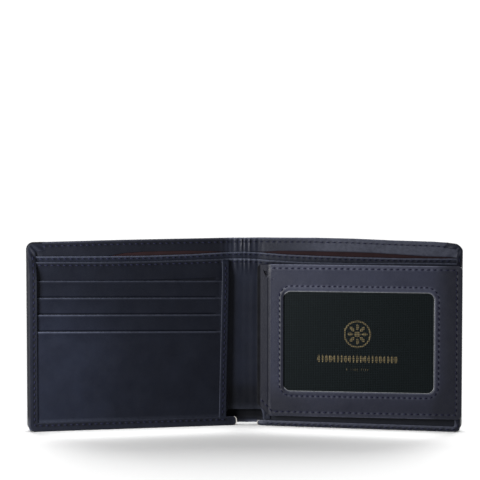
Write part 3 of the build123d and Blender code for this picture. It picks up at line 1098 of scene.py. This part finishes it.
# ---- Edge border: the shell turned in along the bottom and the tip, over every layer ----
def border(side, name):
    """Its profile runs over the outer edge, across the face, round the lip and back behind."""
    place = shell_place(side, crown)
    width = BORDER_WIDTHS[name]
    middle, along = border_middle(name)
    t, z = middle.T
    fade = smooth((z - 76) / 14)
    face = BORDER_FACE + (HEM_V + 0.45 - BORDER_FACE) * fade
    face = face - 0.42 * smooth(1 - (along[-1] - along) / 5)
    roll = smooth(1 - along / 5)                       # the bottom run ends in a soft roll
    face = face - 0.5 * roll
    # on the right the lip and the foot of the face get a painted highlight; the left border gets painted shade, most
    # on its tip's rounded edge, and the right tip a little
    if name == "left":
        lip_wear_and_highlight, face_painted_highlight, tip_painted_shade, overall_painted_shade = 0.1, 0.0, 0.8, 0.45
    else:
        lip_wear_and_highlight, face_painted_highlight = 0.55 * smooth((9 - z) / 4), 0.3 * smooth((6 - z) / 3)
        tip_painted_shade, overall_painted_shade = 0.3, 0.0
    seam = border_seams[name]
    profile = []                                       # (inset, v along the path, wear and painted highlight)

    def surface(inset):
        path = border_path(name, inset)
        corner = (z > HEIGHT - 9) & (t > SHELL_END - 9)
        angle = np.arctan2(HEIGHT - path[:, 1] + 3, SHELL_END - path[:, 0] + 3)
        pleat = 0.18 * np.sin(24 * angle) * smooth((z - 83) / 3) * smooth((inset - 0.6) / 1.2)
        return face + seam.dent(*path.T) + np.where(corner, pleat, 0)

    radius = 0.9
    for away, under, worn in arc(0, math.pi / 2, 6):
        inset = radius * away
        profile.append((inset, surface(inset) - radius * under, 0.15 * worn))
    for inset in (width - k for k in (3.1, 2.5, 2.15, 1.8, 1.5, 1.2, 0.85, 0.5)):
        if inset > radius + 0.05:
            profile.append((inset, surface(inset), face_painted_highlight))
    for angle in np.linspace(math.pi / 2, -math.pi / 2, 7):
        half = BORDER_T / 2
        inset = width - half + half * math.cos(angle)
        profile.append((inset, surface(width - 0.6) - half * (1 - math.sin(angle)),
                        lip_wear_and_highlight * max(0, math.sin(angle + 0.8))))
    foot, base = 0.45, surface(0) - radius             # the wall runs from the cover to the roll
    profile += [
        (1.3, face - BORDER_T, 0), (WALL, np.maximum(face - BORDER_T, COVER_T), 0),
        (WALL, foot + 0 * face, 0), (0, foot + 0 * face, 0),
        *[(0, foot + (base - foot) * share, 0) for share in np.linspace(0.25, 0.8, 3)],
    ]

    columns, painted_shades = [], []
    for inset, v, _ in profile:
        path = border_path(name, inset)
        off = min(1.0, abs(2 * inset / width - 1))
        rounding = 1.6 * (1 - math.sqrt(1 - off * off)) * np.clip(1 - along / 3, 0, 1)
        columns.append(place(path[:, 0] + rounding, v, path[:, 1]))
        # painted shade on the tip's rounded edge and over the whole border, added to the stitch-hole shade
        at_tip = tip_painted_shade * smooth((0.95 - inset) / 0.5) * smooth((z - 4) / 4)
        painted_shades.append(seam.pit(*path.T) + at_tip + overall_painted_shade)
    wear = np.stack([w * smooth((along[-1] - along) / 4) for _, _, w in profile], 1)
    obj = skin(f"border_{name}", columns, False, wear, np.stack(painted_shades, 1), raw_ends=(True, False))
    dress(obj, "shell_leather")
    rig.replaces(obj, f"edge_border_{name}")
    bend_at_crease(obj, side)

    def face_at(u, w):
        _, run = nearest(middle, u, w)
        return np.interp(run, along, face) + seam.dent(u, w)

    stitched = seam.stitches(f"stitches_border_{name}", face_at, place)
    hang(stitched, f"{name}_half", f"thread_border_{name}")


for side, name in SIDES:
    border(side, name)


# ---- Inner strip: binding along the crease side of the card pockets ----
STRIP_SHORT = {"left": 1.0, "right": 3.0}        # how far it ends under the panel's top edge
STRIP_LEAN = {"left": 2.0, "right": 0.0}         # how far its top leans towards the spine


def inner_strip(side, name):
    """Its profile runs over the crease-side edge, across the face and down into the pockets."""
    def place(t, v, z):
        return shell_place(side)(t - STRIP_LEAN[name] * z / PANEL_TOP, v, z)

    low, high = BORDER_WIDTH - 1.0, PANEL_TOP - STRIP_SHORT[name]
    near_top = high - np.array([1.2, 0.8, 0.4, 0.15, 0])
    zs = np.concatenate([np.arange(low, high - 1.5, 0.65), near_top])
    face = BORDER_FACE - 1.25 * smooth((zs - 73) / 10) - 0.35 * smooth(1 - (high - zs) / 1.0) ** 2
    middle = SPINE + (STRIP_START + STRIP_END) / 2
    seam = Seam([(middle, BORDER_WIDTH + 1), (middle, high - 2.5)], pitch=STRIP_PITCH)
    profile, radius = [], 0.85
    for away, under, worn in arc(0, math.pi / 2, 6):
        profile.append((STRIP_START + radius * away, -radius * under, 0.2 * worn))
    profile += [(u, 0, 0) for u in (3.9, 4.15, 4.4, 4.65, 4.9, 5.15, 5.45, 5.85)]
    for angle in np.linspace(math.pi / 2, -math.pi / 2, 7):
        half = BORDER_T / 2
        profile.append((STRIP_END - half + half * math.cos(angle), half * (math.sin(angle) - 1),
                        0.15 * max(0, math.sin(angle + 0.8))))
    columns, wear_and_highlights, painted_shades = [], [], []
    for u, v, wear in profile:
        t = SPINE + u + 0 * zs
        columns.append(place(t, face + v + seam.dent(t, zs), zs))
        wear_and_highlights.append(wear)
        # painted shade in the stitch holes
        painted_shades.append(seam.pit(t, zs))
    for u, v in ((STRIP_START + WALL, -BORDER_T), (STRIP_START + WALL, None), (STRIP_START, None)):
        depth = POCKETS_V - 0.1 + 0 * zs if v is None else face + v
        columns.append(place(SPINE + u + 0 * zs, depth, zs))
        wear_and_highlights.append(0)
        painted_shades.append(0 * zs)
    wear = np.tile(wear_and_highlights, (len(zs), 1))
    obj = skin(f"strip_{name}", columns, False, wear, np.stack(painted_shades, 1))
    hang(dress(obj, "inner_leather"), f"{name}_half", f"inner_strip_{name}")

    def face_at(t, z):
        return np.interp(z, zs, face) + seam.dent(t, z)

    stitched = seam.stitches(f"stitches_strip_{name}", face_at, place)
    hang(stitched, f"{name}_half", f"thread_inner_strip_{name}")


for side, name in SIDES:
    inner_strip(side, name)


# ---- ID flap: one leather makes the window frame, the turned rim and the rolled fold ----
FLAP_CORNERS = [
    (FLAP_START, FLAP_TOP - 1.6), (FLAP_START, FLAP_BOTTOM + FLAP_CHAMFER),
    (FLAP_START + FLAP_CHAMFER, FLAP_BOTTOM), (FLAP_END, FLAP_BOTTOM), (FLAP_END, FLAP_TOP),
    (2.4, FLAP_TOP),
]
FLAP_RADII = (0.9, 0.9, 0.9, FLAP_RADIUS, FLAP_RADIUS, 0.9)
FLAP_RUNS, FLAP_BENDS = (104, 12, 146, 110, 150, 5), (3, 3, 8, 8, 3, 3)
WINDOW_RUNS, WINDOW_BENDS = (104, 146, 110, 150), (18, 8, 8, 11)


def flap_outline(inset):
    return rounded_path(FLAP_CORNERS, FLAP_RADII, FLAP_RUNS, FLAP_BENDS, inset)


def window_path(left, right, low, high, radius, inset=0.0):
    corners = [(left, high), (left, low), (right, low), (right, high)]
    return rounded_path(corners, [radius] * 4, WINDOW_RUNS, WINDOW_BENDS, inset)


def window_outline(inset):
    return window_path(*WINDOW, WINDOW_RADIUS, inset)


def closed_loop(path):
    return np.concatenate([path, path[:1]])


outer_seam = Seam(rounded_path(
    [(7.6, FLAP_TOP - 2.0), (FLAP_END - 2.7, FLAP_TOP - 2.0), (FLAP_END - 2.7, FLAP_BOTTOM + 2.3),
     (FLAP_START + FLAP_CHAMFER + 1.6, FLAP_BOTTOM + 2.3),
     (FLAP_START + 1.5, FLAP_BOTTOM + FLAP_CHAMFER + 2.6)],
    (0, 0, 0, 0, 0), (1, 1, 1, 1), (0, 0, 0), closed=False,
))
window_seam = Seam(closed_loop(window_path(
    WINDOW[0] - 2.1, WINDOW[1] + 1.9, WINDOW[2] - 2.2, WINDOW[3] + 2.4, WINDOW_RADIUS + 2.3
)), pitch=WINDOW_PITCH)
window_edge = closed_loop(window_outline(0))
ridge_path = rounded_path(
    [(FLAP_END - 3.9, FLAP_TOP - 3.1), (7.1, FLAP_TOP - 3.1), (7.1, FLAP_BOTTOM + 7)],
    (0, 2.2, 0), (1, 1), (6,), closed=False,
)


def ridge(u, z):
    """Where the frame starts beside the rolled fold its edge stands up a little."""
    return np.exp(-((nearest(ridge_path, u, z)[0] / 0.42) ** 2))


def flap_face(u, z):
    """Front surface of the flap, without the rounding of its edges."""
    to_window, _ = nearest(window_edge, u, z)
    roll = ROLL_V - 0.16 * smooth((u - 5.8) / 0.6)
    flat = FLAP_FACE - 0.08 - 0.48 * (1 - smooth((u - FLAP_CREASE) / 0.9))
    surface = np.where(u < FLAP_CREASE, roll, flat)
    lip = 0.16 * np.exp(-(((to_window - 1.25) / 0.8) ** 2))
    return surface + lip + 0.06 * ridge(u, z) + outer_seam.dent(u, z) + window_seam.dent(u, z)


RIM_ROUND, LOW_ROUND, LIP_ROUND = 0.65, 0.5, 0.45        # front rim, back rim and window lip
FRAME_INSETS = (0.95, 1.3, 1.6, 1.85, 2.1, 2.35, 2.6, 2.85, 3.1, 3.35, 3.8, 4.2, 4.5, 4.8, 5.05,
                5.25, 5.5, 5.65, 5.8, 5.95, 6.15, 6.4, 6.6)
WINDOW_INSETS = (-3.9, -3.4, -3.1, -2.85, -2.6, -2.35, -2.1, -1.85, -1.6, -1.3, -1.0, -0.6)


def flap_frame():
    """Rings of points from the back of the rim, over the front, to the back of the window."""
    edge = flap_outline(0)
    on_top = smooth((edge[:, 1] - FLAP_TOP + 1.8) / 1.5) * smooth((edge[:, 0] - 3.0) / 3)
    low = HINGE_LOW + (FRAME_BACK_V - HINGE_LOW) * on_top
    rim_radius = np.minimum(RIM_ROUND, (FLAP_FACE - low) / 2)
    low_radius = np.minimum(LOW_ROUND, (FLAP_FACE - low) / 2)
    columns, wear_and_highlights, painted_shades = [], [], []

    def add(path, v, wear=0.0):
        u, z = path.T
        columns.append(flap_place(u, v, z))
        # painted highlight between the stitches, fainter to the left of the window, and on the rim above the window,
        # added to the edge wear
        stitched = np.maximum(outer_seam.pit(u, z), window_seam.pit(u, z))
        rim = smooth((2.4 - nearest(window_edge, u, z)[0]) / 0.6)
        top_rim_highlight = rim * smooth((z - WINDOW[3] + 1.0) / 1.0)
        faint = 1 - 0.7 * smooth((WINDOW[0] + 1 - u) / 2) * smooth((FLAP_TOP - 6 - z) / 4)
        wear_and_highlights.append(wear * smooth((u - 6) / 2) + 0.42 * stitched * faint + 0.14 * top_rim_highlight)
        # painted shade: darker towards the hinge, the far end, the foot and the left side of the window
        shade = 0.3 * smooth((34 - u) / 24)
        shade = shade + 0.9 * smooth((u - 84) / 15) + 0.6 * smooth((26 - z) / 16)
        shade = shade + 0.35 * rim * smooth((WINDOW[0] + 1.5 - u) / 1.5)
        # painted shade on the rolled fold and its step, and low down on it
        roll_painted_shade = 0.9 * smooth((ROLL_END - u) / 0.9) + 0.3 * smooth((12 - z) / 5)
        on_roll = np.maximum(np.minimum(shade, 0.7), roll_painted_shade)
        shade = np.where(u < ROLL_END, on_roll, np.minimum(shade, 0.85))
        # painted shade in the stitch holes, and a painted shadow in the gap along the fold's back edge
        painted_shades.append(np.maximum(shade, 0.2 * stitched) + 1.1 * smooth((3.0 - u) / 1.6))

    def add_face(path, under=0.0, wear=0.0):
        add(path, flap_face(*path.T) - under, wear)

    for inset, rise in ((3.85, 0.3), (4.0, 0.15), (3.85, 0.0), (2.5, 0.0)):
        add(flap_outline(inset), low + rise)
    for away, under, worn in arc(0, math.pi / 2, 5):
        add(flap_outline(LOW_ROUND * under), low + low_radius * away, 0.3 * worn)
    for away, under, worn in arc(0, math.pi / 2, 7):
        add_face(flap_outline(RIM_ROUND * away), rim_radius * under, 0.9 * worn)
    for inset in FRAME_INSETS:
        add_face(flap_outline(inset), 0.0, 0.25 if inset < 1 else 0)
    outer, inner = flap_outline(FRAME_INSETS[-1]), window_outline(WINDOW_INSETS[0])
    for share in np.linspace(0, 1, 7)[1:-1]:
        add_face(outer + (inner - outer) * share)
    for inset in WINDOW_INSETS:
        add_face(window_outline(inset))
    for away, under, worn in arc(math.pi / 2, 0, 6):
        add_face(window_outline(-LIP_ROUND * away), LIP_ROUND * under, 0.7 * worn)
    for inset in (0, -2.5):
        add(window_outline(inset), FLAP_FRAME_V + 0 * low)
    for inset in (4.2, 0.7):
        add(flap_outline(inset), FLAP_FRAME_V - 0.1 + 0.12 * on_top)
    add(flap_outline(0.7), low + 0.32)
    obj = skin("flap_front", columns, True, np.stack(wear_and_highlights, 1), np.stack(painted_shades, 1))
    hang(dress(obj, "flap_leather"), "id_flap", "flap_frame", "flap_hinge_roll")


flap_frame()
for seam, name in ((outer_seam, "flap_outer"), (window_seam, "window")):
    stitched = seam.stitches(f"stitches_{name}", flap_face, flap_place, radius=0.29)
    hang(stitched, "id_flap", f"thread_{name}")


def flap_base():
    """The leather behind the card, a little smaller than the frame."""
    gap = 0.75
    low_u, high_u = FLAP_START + gap, FLAP_END - gap
    low_z, high_z = FLAP_BOTTOM + gap, FLAP_TOP - 0.2
    corners = [
        corner_at(low_u, low_z, -1, -1, FLAP_CHAMFER - 0.3, True),
        corner_at(high_u, low_z, 1, -1, 1.5), corner_at(high_u, high_z, 1, 1, 1.5),
        corner_at(low_u, high_z, -1, 1, 2.0, True),
    ]
    us, zs = (lines(a, b, 2.5, 0.3, 0.3) for a, b in ((low_u, high_u), (low_z, high_z)))
    obj = sheet("flap_backing", us, zs, level(FLAP_BASE_V + BACKING_T), level(FLAP_BASE_V),
                flap_place, corners=corners)
    hang(dress(obj, "flap_leather"), "id_flap", "flap_base")


flap_base()


BACK_POCKET = (10.4, 98.6)               # from u, to u


def back_pocket(number):
    """A card pocket on the back of the flap, its turned top edge facing backwards."""
    node = f"flap_back_pocket_{number}"
    low, top = bottom_of(node), top_of(node)
    v1 = FLAP_BASE_V - number * POCKET_STEP + POCKET_T

    def back(u, z):
        turned = 0.2 * smooth((z - top + TURNED_EDGE) / 0.5)
        return v1 - POCKET_T - turned * smooth((u - 12) / 2) * smooth((97 - u) / 2)

    us = lines(*BACK_POCKET, 2.5, 0.2, 0.2)
    zs = lines(low, top, 5.0, 0.2, 0.3, [top - 0.9, *about(top - 1.65, 0.25)])
    obj = sheet(node.replace("flap_", ""), us, zs, level(v1), back, flap_place)
    hang(dress(obj, "inner_leather"), "id_flap", node)


for number in (1, 2, 3):
    back_pocket(number)


# ---- Hinge: the leather that rises from the panel into the rolled fold ----
def hinge():
    """Its profile in (u, v) runs up the back, over the bend and down onto the panel."""
    low, high = bottom_of("flap_hinge_root"), top_of("flap_hinge_root")
    even = np.arange(low + 0.6, high - 0.6, 1.2)
    zs = np.concatenate([[low, low + 0.15], even, [high - 0.15, high]])
    profile = [
        (1.02, 3.55), (0.98, 4.2), (0.98, 5.4), (1.0, 6.6), (1.0, 7.4), (1.05, 8.0), (1.2, 8.6),
        (1.5, 8.75), (1.7, 8.5), (1.62, 7.9), (1.6, 7.3), (1.6, 6.4), (1.62, 5.4), (1.7, 4.6),
        (1.95, 4.3), (2.4, 4.2), (2.6, 3.95), (2.6, 3.55),
    ]
    ends = np.minimum(zs - low, high - zs)
    shrink = 1 - 0.35 * (ends < 0.1) - 0.1 * ((ends >= 0.1) & (ends < 0.3))
    middle = 1.35
    columns = [flap_place(middle + (u - middle) * shrink, v + 0 * zs, zs) for u, v in profile]
    obj = dress(skin("flap_hinge", columns), "flap_leather")
    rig.replaces(obj, "flap_hinge_root")
    start, end = (Vector(flap_place(HINGE_U, HINGE_V + reach, 0)) for reach in (-1.0, 0.4))
    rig.blend(obj, "right_half", "id_flap", start=start, end=end)


hinge()


# ---- Window: piping round its edge, and a woven mesh ----
def window_piping():
    columns = []
    for angle in np.linspace(0, 2 * math.pi, 9)[:-1]:
        inset = 0.2 + 0.21 * math.cos(angle)
        u, z = window_outline(inset).T
        tucked = 0.5 * smooth((WINDOW[0] + 1.4 - u) / 1.2)
        columns.append(flap_place(u - tucked, 9.5 - 0.5 * tucked + 0.22 * math.sin(angle), z))
    hang(dress(skin("window_edging", columns, True), "piping"), "id_flap", "window_piping")


window_piping()

MESH_V, MESH_PITCH, MESH_MARGIN, YARN_RADIUS = 9.2, 0.86, 1.6, 0.13


def window_mesh():
    """Straight yarns both ways, each passing over and under the ones it crosses."""
    low_u, high_u = WINDOW[0] - MESH_MARGIN, WINDOW[1] + MESH_MARGIN
    low_z, high_z = WINDOW[2] - MESH_MARGIN, WINDOW[3] + MESH_MARGIN
    across = np.arange(low_u, high_u, MESH_PITCH)
    up = np.arange(low_z, high_z, MESH_PITCH)
    angles = np.array([0.25, 0.75, 1.25, 1.75]) * math.pi
    points, faces = [], []
    for fixed, run, upright in ((across, up, True), (up, across, False)):
        for i, at in enumerate(fixed):
            lift = 0.055 * (1 - 2 * ((np.arange(len(run)) + i + upright) % 2))
            ring_v = MESH_V + lift[:, None] + YARN_RADIUS * 0.7 * np.sin(angles)[None]
            ring_at = at + YARN_RADIUS * 1.3 * np.cos(angles)[None] + 0 * ring_v
            ring_run = run[:, None] + 0 * ring_v
            u, z = (ring_at, ring_run) if upright else (ring_run, ring_at)
            index = len(points) * 4 + np.arange(len(run) * 4).reshape(-1, 4)
            faces += grid_faces(index, closed_columns=True)
            faces += end_caps(index)
            points.extend(flap_place(u, ring_v, z))
    obj = dress(make_object("mesh_cloth", np.array(points).reshape(-1, 3), faces), "window_mesh")
    hang(obj, "id_flap", "window_mesh")
    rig.sheet(obj, flat=((high_u - low_u) * MM, (high_z - low_z) * MM), held="stretched",
             rests_on=["flap_front"])


window_mesh()


# ---- Insert card and its plain printed decoration ----
CARD = (8.5, 96.5, 9.0, 74.0)            # from u, to u, from z, to z
CARD_V, CARD_T, CARD_RADIUS = 8.6, 0.31, 2.0
PRINT_RELIEF, PRINT_ROUND = 0.045, 0.012
PRINT_CENTRE, RING_Z, PETALS = 50.8, 47.5, 8
MARK_ROWS = ((35.2, 19.2, 1.9, 21), (29.9, 5.2, 0.42, 11))       # z, reach, half height, count


def insert_card():
    corners = [corner_at(u, z, du, dz, CARD_RADIUS) for z, dz in ((CARD[3], 1), (CARD[2], -1))
               for u, du in ((CARD[1], 1), (CARD[0], -1))]
    us, zs = (lines(a, b, 3.0, 0.17, 0.17, about(a, 1, 2) + about(b, 1, 2))
              for a, b in (CARD[:2], CARD[2:]))
    obj = sheet("insert_card", us, zs, level(CARD_V + CARD_T), level(CARD_V), card_place,
                corners=corners)
    hang(dress(obj, "card"), "id_card", "id_card")


insert_card()


def printed_blob(outer, hole=None):
    """Front and rim of one raised printed shape, with an optional hole of matching points."""
    face_v, foot_v = CARD_V + CARD_T + PRINT_RELIEF, CARD_V + CARD_T - 0.02
    count = len(outer)
    centre = outer.mean(0)
    inner = hole if hole is not None else centre + (outer - centre) * 1e-3
    rings = [(outer, foot_v), (outer, face_v - PRINT_ROUND),
             (outer + (inner - outer) * 0.06, face_v), (inner + (outer - inner) * 0.06, face_v),
             (inner, face_v - PRINT_ROUND), (inner, foot_v)]
    points = np.concatenate([card_place(p[:, 0], v, p[:, 1]) for p, v in rings])
    index = np.arange(len(rings) * count).reshape(len(rings), count)
    return points, grid_faces(index, closed_rows=True, closed_columns=True)


def printed_decoration():
    """A ring with eight petals, above a row of tall marks and a row of short ones."""
    turn = np.linspace(0, 2 * math.pi, 49)[:-1]
    circle = np.stack([np.cos(turn), np.sin(turn)], -1)
    hub = np.array([PRINT_CENTRE, RING_Z])
    shapes = [(hub + 6.8 * circle, hub + 6.0 * circle), (hub + 1.5 * circle, None)]
    for k in range(PETALS):
        a = k * 2 * math.pi / PETALS
        ray = np.array([math.cos(a), math.sin(a)])
        side = np.array([-ray[1], ray[0]])
        petal = hub + ray * 3.6 + circle[::3, :1] * ray * 1.5 + circle[::3, 1:] * side * 0.8
        shapes.append((petal, None))
    for z, reach, size, count in MARK_ROWS:
        for u in np.linspace(-reach, reach, count):
            mark = np.array([PRINT_CENTRE + u, z]) + circle[::4] * (size * 0.36, size)
            shapes.append((mark, None))
    points, faces, start = [], [], 0
    for outer, hole in shapes:
        some, quads = printed_blob(outer, hole)
        points.append(some)
        faces += [tuple(i + start for i in quad) for quad in quads]
        start += len(some)
    obj = make_object("card_print", np.concatenate(points), faces)
    hang(dress(obj, "foil"), "id_card", "id_card_foil")


printed_decoration()


# ---- Floor, lights and camera ----
def floor():
    reach = 30.0
    steps = np.array([-reach, -6, -2, -0.8, 0, 0.8, 2, 6, reach])
    x, y = np.meshgrid(steps, steps, indexing="ij")
    points = np.stack([x, y, 0 * x - 0.00002], -1).reshape(-1, 3)
    index = np.arange(x.size).reshape(x.shape)
    mesh = bpy.data.meshes.new("floor")
    mesh.from_pydata(points.tolist(), [], grid_faces(index))
    obj = add_to_scene("floor", mesh)
    n = Nodes("floor_paper")
    haze = n.ramp(n.noise(2.0, 2), 0.3, 0.7)
    n.link(Base_Color=n.mix(haze, (0.90, 0.90, 0.90), (0.915, 0.915, 0.915)))
    obj.data.materials.append(n.set(Roughness=0.9, Specular_IOR_Level=0.1))
    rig.stage(obj)
    return obj


ground = floor()


def aim(obj, target):
    obj.rotation_euler = (Vector(target) - obj.location).to_track_quat("-Z", "Y").to_euler()


def floor_group(name):
    group = bpy.data.collections.new(name)
    group.objects.link(ground)
    return group


only_floor, all_but_floor = floor_group("only_floor"), floor_group("all_but_floor")
all_but_floor.collection_objects[0].light_linking.link_state = "EXCLUDE"


def sun_light(name, direction, strength, spread):
    data = bpy.data.lights.new(name, "SUN")
    data.energy, data.angle = strength, math.radians(spread)
    obj = add_to_scene(name, data, -Vector(direction))
    aim(obj, (0, 0, 0))
    return obj


def area_light(name, location, size, energy, receivers):
    data = bpy.data.lights.new(name, "AREA")
    data.shape, data.size, data.size_y, data.energy = "RECTANGLE", *size, energy
    obj = add_to_scene(name, data, location)
    obj.light_linking.receiver_collection = receivers
    return obj


def floor_glow(name, centre, size, turn, energy):
    """A low light that only lightens the paper below it."""
    obj = area_light(name, centre, size, energy, only_floor)
    obj.rotation_euler = (0, 0, turn)
    obj.visible_camera = False


for azimuth in (-26, 26):
    lean = math.radians(azimuth)
    sun_light("back_top", (math.sin(lean), -math.cos(lean), -0.8), 1.35, 34)
ground_fill = sun_light("ground_fill", (0.0, 0.5, -1.0), 0.5, 30)
ground_fill.light_linking.receiver_collection = only_floor
for name, location, height, size, energy in (
    ("key_left", (-0.23, -0.17, 0.09), 0.045, (0.10, 0.16), 3.5),
    ("key_back", (0.34, 0.42, 0.30), 0.05, (0.22, 0.30), 7.0),
):
    aim(area_light(name, location, size, energy, all_but_floor), (0, 0, height))

GLOW_AHEAD, GLOW_Z = 16.0, 14.0          # mm in front of the halves, and over the floor
for side, name in SIDES:
    foot = at_rest(side * 54, GLOW_AHEAD + CREASE_DEPTH, GLOW_Z)
    floor_glow(f"glow_foot_{name}", foot, (0.096, 0.018), -side * OPEN, 0.0075)
    floor_glow(f"glow_end_{name}", (side * 0.122, -0.055, 0.045), (0.05, 0.09), 0.0, 0.012)

world = bpy.data.worlds.new("studio")
world.use_nodes = True
background = world.node_tree.nodes["Background"].inputs
background["Color"].default_value = (1, 1, 1, 1)
background["Strength"].default_value = 0.5
bpy.context.scene.world = world
bpy.context.scene.view_settings.view_transform = "Standard"

DISTANCE, ELEVATION = 1.59, math.radians(6.4)
target = Vector((-2.2, CREASE_Y, 92.35)) * MM
camera_data = bpy.data.cameras.new("camera")
camera_data.lens, camera_data.clip_end = 240.8, 200
back_and_up = Vector((0, -math.cos(ELEVATION), math.sin(ELEVATION)))
camera = add_to_scene("camera", camera_data, target + back_and_up * DISTANCE)
aim(camera, target)
bpy.context.scene.camera = camera

visual_low, visual_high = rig.bounds()
with open("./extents.json", "w") as out:
    json.dump({"cad": [list(cad_low), list(cad_high)], "visual": [list(visual_low), list(visual_high)]}, out)
